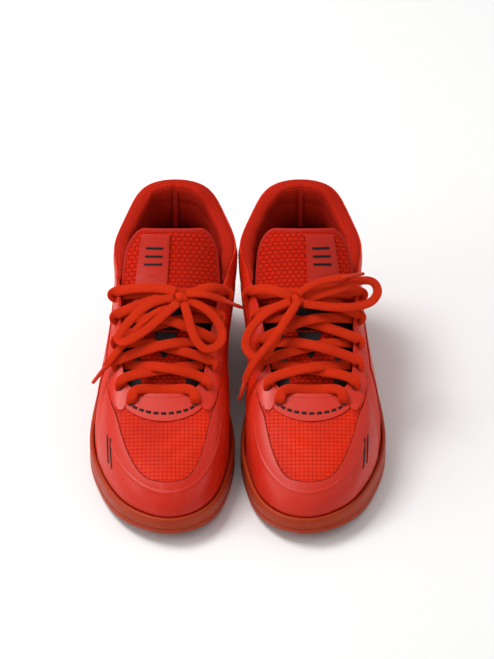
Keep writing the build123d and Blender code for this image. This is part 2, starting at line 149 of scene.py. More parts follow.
# ---- the shoe's surfaces ----
def spline_through(knots, values, period=None):
    """A cubic spline through values at knots, as a function of an array: natural, or closed over period."""
    t = np.array(knots, float)
    f = np.array(values, float).reshape(len(t), -1)
    n = len(t)
    if period:
        h = np.diff(np.append(t, t[0] + period))
        nxt = np.roll(np.arange(n), -1)
    else:
        h = np.diff(t)
        nxt = np.arange(1, n)
    a, b = np.eye(n), np.zeros_like(f)
    for i in range(n) if period else range(1, n - 1):
        before, after = h[i - 1], h[i]
        j, k = (i - 1) % n, (i + 1) % n
        a[i] = 0
        a[i, j], a[i, i], a[i, k] = before, 2 * (before + after), after
        b[i] = 6 * ((f[k] - f[i]) / after - (f[i] - f[j]) / before)
    bend = np.linalg.solve(a, b)

    def at(x):
        x = np.asarray(x, float)
        if period:
            x = t[0] + (x - t[0]) % period
        i = np.clip(np.searchsorted(t, x, "right") - 1, 0, len(h) - 1)
        j = nxt[i]
        w = ((x - t[i]) / h[i])[..., None]
        curve = ((1 - w) ** 3 - (1 - w)) * bend[i] + (w**3 - w) * bend[j]
        return (1 - w) * f[i] + w * f[j] + (h[i] ** 2 / 6)[..., None] * curve

    return at


def line_of(points):
    return spline_through([p[0] for p in points], [p[1:] for p in points])


outline = spline_through([p[0] for p in OUTLINE], [p[1:] for p in OUTLINE], 2.0)
centre_x = line_of(CENTRE)
ground = line_of(GROUND)
foam_top = line_of(FOAM_TOP)
rim = line_of(RIM)
tongue_line = line_of(TONGUE)
_lateral = [(p[0], -p[1], *p[2:4], -p[4], *p[5:]) for p in TOPLINE]
_medial = [(2 - p[0], *p[1:]) for p in TOPLINE[1:-1]]
_loop = sorted(_lateral + _medial)
topline = spline_through([p[0] for p in _loop], [p[1:] for p in _loop], 2.0)


def unit(a):
    return a / np.maximum(np.linalg.norm(a, axis=-1, keepdims=True), 1e-9)


def outline_in(u, inset):
    """Points of the sole outline, moved in by inset."""
    step = 1e-3
    along = unit(outline(u + step) - outline(u - step))
    inset = np.asarray(inset, float)[..., None]
    return outline(u) + inset * np.stack([along[..., 1], -along[..., 0]], -1)


def skin_point(u, v):
    u, v = np.broadcast_arrays(np.asarray(u, float), np.asarray(v, float))
    foot = outline_in(u, WALL + FEATHER)
    p0 = np.concatenate([foot, foam_top(foot[..., 1]) + FIT], -1)
    half, y, z, out, forward, down = np.moveaxis(topline(u), -1, 0)
    p3 = np.stack([centre_x(y)[..., 0] + half, y, z], -1)
    bulge = BULGE * np.exp(-(((u % 2 - 1.42) / 0.17) ** 2))
    p2 = p3 + np.stack([out + bulge, -forward, -down], -1)
    lean = outline_in(u, WALL + FEATHER - 3.0) - foot
    climb = 0.42 * (z - p0[..., 2]) + 6.0 * np.cos(np.pi * np.minimum(u, 2 - u)) ** 2
    p1 = p0 + np.stack([lean[..., 0] * 0.4, lean[..., 1] * 0.4, climb], -1)
    w = v[..., None]
    return (1 - w) ** 3 * p0 + 3 * (1 - w) ** 2 * w * p1 + 3 * (1 - w) * w**2 * p2 + w**3 * p3


def skin(u, v, depth=0.0):
    """Points of the upper, depth millimetres inside its face. Above v 1 they go straight up, 100 mm to 1."""
    u, v = np.broadcast_arrays(np.asarray(u, float), np.asarray(v, float))
    du, dv = 2e-3, 1e-3
    low = np.minimum(v, 1.0)
    across = skin_point(u + du, low) - skin_point(u - du, low)
    up = skin_point(u, np.minimum(low + dv, 1)) - skin_point(u, np.maximum(low - dv, 0))
    normal = unit(np.cross(across, up))
    rise = np.maximum(v - 1.0, 0.0)[..., None] * 100.0
    return skin_point(u, low) + normal * np.asarray(depth, float)[..., None] + unit(up) * rise


def tongue_point(s, t, depth=0.0):
    """Points of the tongue: s climbs from its seam to its top, t runs across it from -1 (lateral) to 1."""
    s, t = np.broadcast_arrays(np.asarray(s, float), np.asarray(t, float))
    y, z, half, _, drop = np.moveaxis(tongue_line(s), -1, 0)
    along = unit((tongue_line(s + 0.01) - tongue_line(s - 0.01))[..., :2])
    lift = np.stack([np.zeros_like(y), -along[..., 1], along[..., 0]], -1)
    middle = np.stack([centre_x(y)[..., 0] + half * t, y, z], -1)
    return middle - lift * (drop * t * t + depth)[..., None]


def above_rim(u):
    """The v at which the skin comes clear of the rubber rim, for each u."""
    vs = np.linspace(0, 0.4, 81)
    p = skin_point(np.asarray(u)[..., None], vs)
    clear = p[..., 2] >= rim(p[..., 1])[..., 0] + 0.3
    return vs[np.argmax(clear, -1)]


def guard_edge(u):
    """How high the toe guard climbs: low over the toe, so that the ripstop shows, and higher at its sides."""
    a = np.clip((np.abs(u) - 0.05) / 0.15, 0.0, 1.0)
    return 0.41 + 0.31 * a * a * (3 - 2 * a)


def stay_edge(u):
    """The lower edge of an eyestay, rounded up to the band at its front."""
    a = np.clip((np.minimum(u, 2 - u) - 0.152) / 0.09, 0.0, 1.0)
    return 0.74 + 0.12 * (1 - np.sqrt(1 - (1 - a) ** 2))


# ---- meshes ----
def place(points, side):
    """Shoe frame in millimetres to the row frame in metres; side is right or left."""
    p = np.asarray(points, float).reshape(-1, 3) + (SHOE_X, SHOE_Y, 0.0)
    if side == "left":
        p = p * (-1.0, 1.0, 1.0)
    return p / 1000


def finish_piece(name, points, faces, uv, material, body, nodes, bevel=0.0):
    """A smooth mesh object from row-frame points, with its material, slot, body and the nodes it replaces."""
    mesh = bpy.data.meshes.new(name)
    mesh.from_pydata([tuple(p) for p in points], [], faces)
    layer = mesh.uv_layers.new(name="UVMap")
    corners = np.empty(len(mesh.loops), int)
    mesh.loops.foreach_get("vertex_index", corners)
    layer.data.foreach_set("uv", np.asarray(uv, np.float32)[corners].ravel())
    work = bmesh.new()
    work.from_mesh(mesh)
    bmesh.ops.recalc_face_normals(work, faces=work.faces)
    work.to_mesh(mesh)
    work.free()
    mesh.shade_smooth()
    obj = bpy.data.objects.new(name, mesh)
    bpy.context.scene.collection.objects.link(obj)
    obj.data.materials.append(material)
    if bevel:
        soft = obj.modifiers.new("edge", "BEVEL")
        soft.width = bevel / 1000
        soft.segments = 2
        soft.limit_method = "ANGLE"
        soft.angle_limit = math.radians(50)
        soft.harden_normals = True
    if nodes:
        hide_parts(*nodes)
    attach(obj, body)
    return obj


def grid_faces(rows, columns, start=0, wrap_rows=False, wrap_columns=False):
    """Quads over a grid of points."""
    i = np.arange(rows if wrap_rows else rows - 1)[:, None]
    j = np.arange(columns if wrap_columns else columns - 1)[None, :]
    a = i * columns + j
    b = (i + 1) % rows * columns + j
    c = (i + 1) % rows * columns + (j + 1) % columns
    d = i * columns + (j + 1) % columns
    return (np.stack([a, b, c, d], -1).reshape(-1, 4) + start).tolist()


def shell(outer, inner):
    """The points and faces of a closed sheet between two grids of points."""
    n, m = outer.shape[:2]
    size = n * m
    points = np.concatenate([outer.reshape(-1, 3), inner.reshape(-1, 3)])
    faces = grid_faces(n, m) + grid_faces(n, m, size)
    index = np.arange(size).reshape(n, m)
    ring = np.concatenate([index[0, :-1], index[:-1, -1], index[-1, :0:-1], index[:0:-1, 0]])
    after = np.roll(ring, -1)
    faces += np.stack([ring, after, after + size, ring + size], -1).tolist()
    return points, faces


def cloth_uv(kind, points):
    """Millimetres along the weave: across and up the vamp, or along a side, round the heel and up."""
    x, y, z = np.moveaxis(points.reshape(-1, 3), -1, 0)
    if kind == "front":
        return np.stack([x, 0.82 * y + 0.57 * z], -1)
    return np.stack([y - np.abs(x - CENTRE[-1][1]), z], -1)


def panel(u0, u1, v0, v1, near, far, relief=None, step=0.006, rows=40):
    """A sheet of the upper: v0 and v1 are numbers or functions of u, relief(u, v) raises its face."""
    u = np.linspace(u0, u1, max(8, int(abs(u1 - u0) / step)))
    low = v0(u) if callable(v0) else np.full_like(u, v0)
    high = v1(u) if callable(v1) else np.full_like(u, v1)
    v = low[:, None] + (high - low)[:, None] * np.linspace(0, 1, rows)
    uu = np.repeat(u[:, None], rows, 1)
    raised = relief(uu, v) if relief else 0.0
    return shell(skin(uu, v, near - raised), skin(uu, v, np.full_like(v, far)))


def add_panel(side, name, kind, shape, material, nodes, bevel=0.35):
    points, faces = shape
    return finish_piece(
        f"{side}_{name}", place(points, side), faces, cloth_uv(kind, points), material, f"{side}_shoe",
        [f"{side}_{n}" for n in nodes], bevel,
    )


def ribbon(surface, path, width, rise, thick=0.25):
    """A flat printed or bonded strip that follows points (a, b) of a surface."""
    path = np.asarray(path, float)
    p = surface(path[:, 0], path[:, 1], np.full(len(path), -rise))
    q = surface(path[:, 0], path[:, 1], np.full(len(path), -rise - 1.0))
    normal = unit(q - p)
    along = unit(np.gradient(p, axis=0))
    across = unit(np.cross(along, normal)) * width / 2
    bottom, top = p - normal * 0.15, p + normal * thick
    loop = np.stack([bottom - across, top - across * 0.94, top + across * 0.94, bottom + across], 1)
    n = len(p)
    faces = grid_faces(n, 4, wrap_columns=True)
    faces += [[0, 1, 2, 3], [4 * n - 1, 4 * n - 2, 4 * n - 3, 4 * n - 4]]
    return loop.reshape(-1, 3), faces


def join(parts):
    """Several (points, faces) as one."""
    points, faces, start = [], [], 0
    for p, f in parts:
        points.append(p)
        faces += [[i + start for i in face] for face in f]
        start += len(p)
    return np.concatenate(points), faces


def along_line(points, closed=False):
    """Points spaced evenly along straight runs between (a, b) corners."""
    corners = [np.array(p, float) for p in points]
    if closed:
        corners.append(corners[0])
    out = []
    for a, b in zip(corners, corners[1:]):
        count = max(2, int(np.linalg.norm(b - a) / LINE_STEP))
        out += [a + (b - a) * k / count for k in range(count)]
    if not closed:
        out.append(corners[-1])
    return out


def capsule(length, radius, around=6, rings=4):
    """A small rounded stitch along x."""
    turn = np.linspace(0, np.pi, rings + 2)[1:-1]
    phi = np.arange(around) * 2 * np.pi / around
    x = -np.cos(turn)[:, None] * length / 2 * np.ones(around)
    r = np.sin(turn)[:, None] ** 0.6 * radius
    ring = np.stack([x, r * np.cos(phi), r * np.sin(phi)], -1)
    faces = grid_faces(rings, around, wrap_columns=True)
    faces += [list(range(around))[::-1], list(range((rings - 1) * around, rings * around))]
    return ring.reshape(-1, 3), faces


def stitches(surface, path, rise, length=2.1, gap=1.1, radius=0.34):
    """A row of stitches along a path of (a, b) points."""
    path = np.asarray(path, float)
    fine = np.linspace(0, len(path) - 1, 12 * len(path))
    a = np.interp(fine, np.arange(len(path)), path[:, 0])
    b = np.interp(fine, np.arange(len(path)), path[:, 1])
    p = surface(a, b, np.full(len(a), -rise))
    q = surface(a, b, np.full(len(a), -rise - 1.0))
    run = np.concatenate([[0], np.cumsum(np.linalg.norm(np.diff(p, axis=0), axis=1))])
    shape, faces = capsule(length, radius)
    parts = []
    for middle in np.arange(length, run[-1] - length / 2, length + gap):
        here, ahead, above = [np.array([np.interp(middle + d, run, w[:, k]) for k in range(3)])
                              for d, w in ((0, p), (0.5, p), (0, q))]
        x = unit(ahead - here)
        z = unit(above - here)
        y = np.cross(z, x)
        parts.append((here + shape @ np.stack([x, y, z]), faces))
    return join(parts)


def nurbs(points):
    """The points, in metres, of the smooth line that has these control points."""
    curve = bpy.data.curves.new("route", "CURVE")
    curve.dimensions = "3D"
    curve.resolution_u = 12
    spline = curve.splines.new("NURBS")
    spline.points.add(len(points) - 1)
    for place_of, p in zip(spline.points, points):
        place_of.co = (*p, 1.0)
    spline.order_u = 3
    spline.use_endpoint_u = True
    obj = bpy.data.objects.new("route", curve)
    bpy.context.scene.collection.objects.link(obj)
    mesh = bpy.data.meshes.new_from_object(obj)
    line = np.array([v.co for v in mesh.vertices])
    bpy.data.objects.remove(obj)
    bpy.data.curves.remove(curve)
    bpy.data.meshes.remove(mesh)
    return line


def lace_mesh(line, width, thick, up, closed=False, around=20, gripped=0.0):
    """A woven oval swept along a line in metres, its flat side facing up. width and thick are in millimetres,
    and gripped is how much of its far end an aglet squeezes.
    """
    if closed:
        along = unit(np.roll(line, -1, 0) - np.roll(line, 1, 0))
    else:
        along = unit(np.gradient(line, axis=0))
    up = np.broadcast_to(np.asarray(up, float), line.shape)
    normals = []
    last = unit(up[0] - along[0] * (up[0] @ along[0]))
    for t, target in zip(along, up):
        flat = target - t * (target @ t)
        last = last - t * (last @ t)
        last = unit(unit(last) + flat * 0.35)
        normals.append(last)
    normal = np.array(normals)
    across = np.cross(normal, along)
    run = np.concatenate([[0], np.cumsum(np.linalg.norm(np.diff(line, axis=0), axis=1))]) * 1000
    phi = np.arange(around) * 2 * np.pi / around
    c, s = np.cos(phi), np.sin(phi)
    wide = np.sign(c) * np.abs(c) ** 0.8 * width / 2000
    high = np.sign(s) * np.abs(s) ** 0.85 * thick / 2000
    squeeze = np.clip((run[-1] - run - gripped + 3.0) / 3.0, 0.0, 1.0)[:, None] if gripped else 1.0
    wide = wide * squeeze + 0.0011 * c * (1 - squeeze)
    high = high * squeeze + 0.0011 * s * (1 - squeeze)
    wide, high = (np.broadcast_to(size, (len(line), around))[..., None] for size in (wide, high))
    points = line[:, None] + across[:, None] * wide + normal[:, None] * high
    uv = np.stack([np.repeat(run[:, None], around, 1), np.tile(c * width / 2, (len(line), 1))], -1)
    faces = grid_faces(len(line), around, wrap_rows=closed, wrap_columns=True)
    if not closed:
        last_ring = (len(line) - 1) * around
        faces += [list(range(around))[::-1], list(range(last_ring, last_ring + around))]
    return points.reshape(-1, 3), faces, uv.reshape(-1, 2)


def join_uv(parts):
    points, faces = join([(p, f) for p, f, _ in parts])
    return points, faces, np.concatenate([uv for _, _, uv in parts])


# ---- materials ----
def add(tree, kind, inputs=None, **settings):
    """A shader node; inputs are numbers, colours or the sockets that feed it."""
    made = tree.nodes.new("ShaderNode" + kind)
    for key, value in settings.items():
        setattr(made, key, value)
    for key, value in (inputs or {}).items():
        if isinstance(value, bpy.types.NodeSocket):
            tree.links.new(value, made.inputs[key])
        else:
            made.inputs[key].default_value = value
    return made


def rgb(r, g, b):
    return (r, g, b, 1.0)


def noise(tree, scale, detail=3.0, vector=None):
    coordinates = vector or add(tree, "TexCoord").outputs["Object"]
    return add(tree, "TexNoise", {"Vector": coordinates, "Scale": scale, "Detail": detail}).outputs["Fac"]


def span(tree, value, a, b, c, d):
    made = add(tree, "MapRange", {"Value": value, "From Min": a, "From Max": b, "To Min": c, "To Max": d})
    return made.outputs["Result"]


def mix(tree, fac, first, second):
    return add(tree, "MixRGB", {"Fac": fac, "Color1": first, "Color2": second}).outputs["Color"]


def total(tree, a, b, operation="ADD"):
    return add(tree, "Math", {0: a, 1: b}, operation=operation).outputs[0]


def bump(tree, height, distance, strength=1.0, normal=None):
    inputs = {"Height": height, "Distance": distance, "Strength": strength}
    if normal:
        inputs["Normal"] = normal
    return add(tree, "Bump", inputs).outputs["Normal"]


def start(name):
    material = bpy.data.materials.new(name)
    material.use_nodes = True
    tree = material.node_tree
    return material, tree, tree.nodes["Principled BSDF"]


def feed(tree, shader, **inputs):
    for key, value in inputs.items():
        socket = shader.inputs[key.replace("_", " ")]
        if isinstance(value, bpy.types.NodeSocket):
            tree.links.new(value, socket)
        else:
            socket.default_value = value


def weave_vector(tree, cell_x, cell_y):
    uv = add(tree, "UVMap", uv_map="UVMap").outputs["UV"]
    return add(tree, "Mapping", {"Vector": uv, "Scale": (1 / cell_x, 1 / cell_y, 1.0)}).outputs["Vector"]


def bricks(tree, vector, mortar, offset=0.0):
    """1 on the mortar lines of a grid of unit cells, 0 inside the cells."""
    return add(
        tree, "TexBrick",
        {"Vector": vector, "Scale": 1.0, "Mortar Size": mortar, "Mortar Smooth": 0.6, "Brick Width": 1.0,
         "Row Height": 1.0},
        offset=offset, offset_frequency=2, squash=1.0,
    ).outputs["Fac"]


def ripstop_material(name, base, dark):
    """Coated ripstop: a fine raised grid with a film over it."""
    material, tree, shader = start(name)
    grid = bricks(tree, weave_vector(tree, 3.1, 3.1), 0.1)
    cloud = noise(tree, 24.0, 4.0)
    fine = noise(tree, 1500.0, 2.0)
    colour = mix(tree, span(tree, cloud, 0.35, 0.7, 0.0, 0.55), base, dark)
    colour = mix(tree, total(tree, grid, 0.75, "MULTIPLY"), colour, dark)
    height = total(tree, total(tree, grid, 0.8, "MULTIPLY"), total(tree, fine, 0.25, "MULTIPLY"))
    feed(tree, shader, Base_Color=colour, Roughness=span(tree, cloud, 0.3, 0.7, 0.42, 0.58),
         Normal=bump(tree, height, 0.0005, 0.9), Specular_IOR_Level=0.12)
    return material


def film_material(name, base, dusty, scuffed=0.4):
    """Bonded glossy film: a fine leathery grain, dusty scuffs and a soft shine."""
    material, tree, shader = start(name)
    object_place = add(tree, "TexCoord").outputs["Object"]
    stretch = {"Vector": object_place, "Scale": (260.0, 60.0, 90.0)}
    long_marks = add(tree, "Mapping", stretch).outputs["Vector"]
    scuff = span(tree, noise(tree, 1.0, 6.0, long_marks), 0.56, 0.74, 0.0, scuffed)
    cloud = noise(tree, 16.0, 3.0)
    cells = add(tree, "TexVoronoi", {"Vector": object_place, "Scale": 900.0}).outputs["Distance"]
    haze = total(tree, scuff, span(tree, cloud, 0.4, 0.75, 0.0, 0.35), "MAXIMUM")
    colour = mix(tree, haze, base, dusty)
    height = total(tree, total(tree, cells, 0.5, "MULTIPLY"), total(tree, scuff, 0.6, "MULTIPLY"))
    feed(tree, shader, Base_Color=colour, Roughness=span(tree, haze, 0.0, 0.5, 0.36, 0.58),
         Normal=bump(tree, height, 0.00025, 0.6), Specular_IOR_Level=0.3, Coat_Weight=0.04,
         Coat_Roughness=0.3)
    return material


def rubber_material(name, base, worn, grooved=False):
    """Moulded sole rubber: fine grain, rubbed patches, and the zigzag tread underneath."""
    material, tree, shader = start(name)
    patches = noise(tree, 30.0, 5.0)
    grain = noise(tree, 1100.0, 2.0)
    scuff = span(tree, noise(tree, 130.0, 5.0), 0.56, 0.7, 0.0, 0.5)
    colour = mix(tree, total(tree, scuff, span(tree, patches, 0.4, 0.7, 0.0, 0.4), "MAXIMUM"), base, worn)
    height = grain
    if grooved:
        uv = add(tree, "SeparateXYZ", {0: add(tree, "UVMap", uv_map="UVMap").outputs["UV"]})
        zig = add(tree, "Math", {0: uv.outputs[0], 1: 9.0}, operation="PINGPONG").outputs[0]
        shifted = total(tree, uv.outputs[1], zig)
        wave = add(tree, "Math", {0: shifted, 1: 3.0}, operation="PINGPONG").outputs[0]
        tread = span(tree, wave, 0.9, 1.6, 0.0, 6.0)
        height = total(tree, grain, tread)
    feed(tree, shader, Base_Color=colour, Roughness=span(tree, scuff, 0.0, 0.5, 0.44, 0.62),
         Normal=bump(tree, height, 0.0003, 0.6), Specular_IOR_Level=0.2)
    return material


def lace_material(name, base, dark):
    """Flat woven lace: chevrons of yarn that meet along its middle."""
    material, tree, shader = start(name)
    uv = add(tree, "SeparateXYZ", {0: add(tree, "UVMap", uv_map="UVMap").outputs["UV"]})
    side = add(tree, "Math", {0: uv.outputs[1]}, operation="ABSOLUTE").outputs[0]
    slant = total(tree, uv.outputs[0], side)
    yarn = add(tree, "Math", {0: total(tree, slant, 5.2, "MULTIPLY")}, operation="SINE").outputs[0]
    rows = add(tree, "Math", {0: total(tree, side, 6.5, "MULTIPLY")}, operation="COSINE").outputs[0]
    height = total(tree, yarn, total(tree, rows, 0.6, "MULTIPLY"))
    shade = span(tree, height, -1.6, 1.6, 0.0, 1.0)
    colour = mix(tree, shade, dark, base)
    colour = mix(tree, span(tree, noise(tree, 45.0, 3.0), 0.4, 0.75, 0.0, 0.35), colour, dark)
    feed(tree, shader, Base_Color=colour, Roughness=0.82, Normal=bump(tree, height, 0.00025, 0.9),
         Specular_IOR_Level=0.1)
    return material


def mesh_material(name, base, dark, cell_x, cell_y, mortar=0.16):
    """Padded knit mesh: offset cells with sunken seams between them, over a fine knit."""
    material, tree, shader = start(name)
    cells = bricks(tree, weave_vector(tree, cell_x, cell_y), mortar, 0.5)
    knit = add(tree, "TexVoronoi", {"Vector": weave_vector(tree, 0.7, 0.7), "Scale": 1.0}).outputs["Distance"]
    colour = mix(tree, total(tree, cells, 0.6, "MULTIPLY"), base, dark)
    colour = mix(tree, span(tree, knit, 0.3, 0.9, 0.0, 0.35), colour, dark)
    height = total(tree, total(tree, cells, -1.0, "MULTIPLY"), total(tree, knit, 0.3, "MULTIPLY"))
    feed(tree, shader, Base_Color=colour, Roughness=0.85, Normal=bump(tree, height, 0.0007, 0.9),
         Specular_IOR_Level=0.08)
    return material


def plain_material(name, base, dark, roughness, scale, depth):
    """Foam, board, thread, ink and other small or hidden materials, with their own fine grain."""
    material, tree, shader = start(name)
    grain = noise(tree, scale, 4.0)
    feed(tree, shader, Base_Color=mix(tree, span(tree, grain, 0.35, 0.7, 0.0, 1.0), base, dark),
         Roughness=roughness, Normal=bump(tree, grain, depth, 0.5), Specular_IOR_Level=0.2)
    return material


RIPSTOP = ripstop_material("ripstop", rgb(0.76, 0.026, 0.003), rgb(0.46, 0.009, 0.002))
GUARD = film_material("toe_film", rgb(0.54, 0.014, 0.003), rgb(0.6, 0.045, 0.024), 0.55)
OVERLAY = film_material("side_film", rgb(0.58, 0.018, 0.004), rgb(0.62, 0.05, 0.028), 0.35)
BAND = film_material("band_film", rgb(0.56, 0.017, 0.004), rgb(0.58, 0.035, 0.015), 0.3)
RUBBER = rubber_material("outsole_rubber", rgb(0.36, 0.03, 0.004), rgb(0.42, 0.05, 0.012))
TREAD = rubber_material("tread_rubber", rgb(0.26, 0.02, 0.004), rgb(0.24, 0.035, 0.02), grooved=True)
LACE = lace_material("lace_weave", rgb(0.9, 0.046, 0.006), rgb(0.56, 0.018, 0.003))
COLLAR = mesh_material("collar_mesh", rgb(0.6, 0.02, 0.006), rgb(0.3, 0.008, 0.003), 1.8, 1.4)
TONGUE_MESH = mesh_material("tongue_mesh", rgb(0.68, 0.019, 0.004), rgb(0.3, 0.006, 0.002), 4.4, 3.0, 0.16)
HEEL_LINING = mesh_material("lining_knit", rgb(0.2, 0.005, 0.003), rgb(0.09, 0.002, 0.001), 1.3, 1.3)
LABEL = film_material("label_film", rgb(0.5, 0.014, 0.004), rgb(0.52, 0.03, 0.012), 0.25)
# Black: ink for the prints, emblem and tongue patches, and painted shade in the eyelet holes.
INK_AND_HOLE_SHADE = plain_material("black_ink_and_hole_shade", rgb(0.008, 0.006, 0.006), rgb(0.02, 0.012, 0.011), 0.5, 700.0, 0.0001)
# The colour of the narrow dark line along the toe film's edge.
DARK_EDGE_LINE = plain_material("seam_dark_line", rgb(0.16, 0.006, 0.003), rgb(0.28, 0.012, 0.006), 0.8, 400.0, 0.0001)
THREAD = plain_material("red_thread", rgb(0.6, 0.02, 0.006), rgb(0.36, 0.01, 0.003), 0.7, 2200.0, 0.0001)
PIPING = plain_material("edge_binding", rgb(0.5, 0.014, 0.005), rgb(0.34, 0.008, 0.003), 0.75, 1600.0, 0.0002)
EYELET = plain_material("eyelet_edge", rgb(0.3, 0.008, 0.004), rgb(0.16, 0.004, 0.002), 0.5, 900.0, 0.0001)
TIP = plain_material("aglet_plastic", rgb(0.62, 0.035, 0.01), rgb(0.45, 0.02, 0.006), 0.22, 300.0, 0.00005)
FOAM = plain_material("sole_foam", rgb(0.62, 0.05, 0.03), rgb(0.5, 0.04, 0.02), 0.8, 900.0, 0.0003)
BOARD = plain_material("lasting_board", rgb(0.55, 0.5, 0.42), rgb(0.42, 0.38, 0.32), 0.85, 500.0, 0.0002)
SHANK = plain_material("shank_plastic", rgb(0.03, 0.03, 0.032), rgb(0.05, 0.05, 0.05), 0.4, 800.0, 0.0001)
STIFF = plain_material("stiffener", rgb(0.5, 0.46, 0.4), rgb(0.38, 0.34, 0.3), 0.7, 700.0, 0.0002)


# ---- sole ----
def cup_sole(side):
    """The rubber cup: a lofted wall with a foxing groove and a rounded lip, its floor, and the tread."""
    u = np.arange(0, 2, 1 / 160)
    y = outline(u)[:, 1]
    g, r, well = ground(y)[:, 0], rim(y)[:, 0], ground(y)[:, 0] + BOTTOM
    tall = r - g
    profile = [
        (9.0, g + 0.1), (4.0, g + 0.1), (1.9, g + 0.6), (0.7, g + 1.7), (0.15, g + 3.4),
        (0.0, g + 0.28 * tall), (0.05, g + 0.36 * tall), (0.55, g + 0.38 * tall),
        (0.55, g + 0.42 * tall), (0.1, g + 0.44 * tall), (0.0, g + 0.6 * tall), (0.1, r - 2.2),
        (0.45, r - 0.9), (1.1, r - 0.2), (2.0, r), (2.9, r - 0.3), (3.3, r - 1.2), (3.4, r - 4.0),
        (3.4, well + 2.0), (4.2, well + 0.4), (6.0, well),
    ]
    rings = []
    for inset, z in profile:
        xy = outline_in(u, np.full(len(u), inset))
        rings.append(np.concatenate([xy, np.maximum(z, 0.0)[:, None]], 1))
    spine_y = np.clip(y, 42.0, 250.0)
    spine = np.concatenate([centre_x(spine_y), spine_y[:, None]], 1)
    for first, height in ((True, 0.1), (False, BOTTOM)):
        edge = rings[0] if first else rings[-1]
        for k in np.linspace(0.9, 0.02, 12):
            xy = spine + (edge[:, :2] - spine) * k
            z = np.maximum(ground(xy[:, 1]) + height, 0.0)
            ring = np.concatenate([xy, z], 1)
            rings = [ring, *rings] if first else [*rings, ring]
    points = np.stack(rings)
    faces = grid_faces(len(rings), len(u), wrap_columns=True)
    uv = points.reshape(-1, 3)[:, :2]
    count = len(rings) * len(u)
    faces += [list(range(len(u)))[::-1], list(range(count - len(u), count))]
    obj = finish_piece(f"{side}_outsole_cup", place(points, side), faces, uv, RUBBER,
                       f"{side}_shoe", [f"{side}_outsole"])
    obj.data.materials.append(TREAD)
    for face in obj.data.polygons:
        if face.normal.z < -0.85 and face.center.z < 0.012:
            face.material_index = 1
    return obj


# ---- upper ----
def guard_relief(u, v):
    """The embossed ridge over the toe, and a slightly pillowed film."""
    ridge = np.exp(-(((v - 0.315 - 4.0 * u * u) / 0.012) ** 2)) * (np.abs(u) < 0.24)
    return 0.5 * ridge + 0.12 * np.sin(u * 60.0) * np.sin(v * 14.0)


def creases(u, v):
    """Flex creases across the vamp where the toes bend."""
    fold = np.sin((v - 0.62) * 46.0 + 3.0 * np.sin(u * 18.0))
    where = np.exp(-(((v - 0.68) / 0.13) ** 2)) * np.exp(-((u / 0.13) ** 2))
    return 0.35 * fold * where


def upper(side):
    film = (-FIT - FILM, -FIT)
    guard = panel(-0.3, 0.3, above_rim, guard_edge, *film, guard_relief, 0.004, 60)
    add_panel(side, "toe_guard_film", "front", guard, GUARD, ["toe_guard"])
    vamp = panel(-VAMP_U, VAMP_U, 0.0, 1.0, 0.0, TEXTILE, creases, 0.004, 70)
    add_panel(side, "vamp_cloth", "front", vamp, RIPSTOP, ["vamp"])
    band = panel(-0.15, 0.15, 0.84, 1.0, *film, rows=14)
    add_panel(side, "band", "front", band, BAND, ["vamp_band"])
    cup = panel(0.84, 1.16, above_rim, 0.5, *film, rows=36)
    add_panel(side, "heel_film", "side", cup, OVERLAY, ["heel_cup"])
    films = []
    for edge, flip in (("lateral", lambda u: u), ("medial", lambda u: 2 - u)):
        cloth = panel(flip(VAMP_U), flip(1.0), 0.0, 1.0, 0.0, TEXTILE, rows=60)
        add_panel(side, f"quarter_cloth_{edge}", "side", cloth, RIPSTOP, [f"quarter_{edge}"])
        stay = panel(flip(0.152), flip(0.62), stay_edge, 1.0, *film, rows=20)
        add_panel(side, f"eyestay_film_{edge}", "side", stay, OVERLAY, [f"eyestay_{edge}"])
        films.append(panel(flip(0.42), flip(0.8), above_rim, 0.6, *film, rows=40))
    add_panel(side, "side_film", "side", join(films), OVERLAY, ["side_films"])
    lining = join([
        panel(-VAMP_U, VAMP_U, 0.0, 0.97, LINER, LINER + LINING, rows=30),
        panel(VAMP_U, 0.999, 0.0, 0.5, LINER, LINER + LINING, rows=30),
        panel(1.001, 2 - VAMP_U, 0.0, 0.5, LINER, LINER + LINING, rows=30),
    ])
    add_panel(side, "lining_cloth", "side", lining, HEEL_LINING, ["linings"])


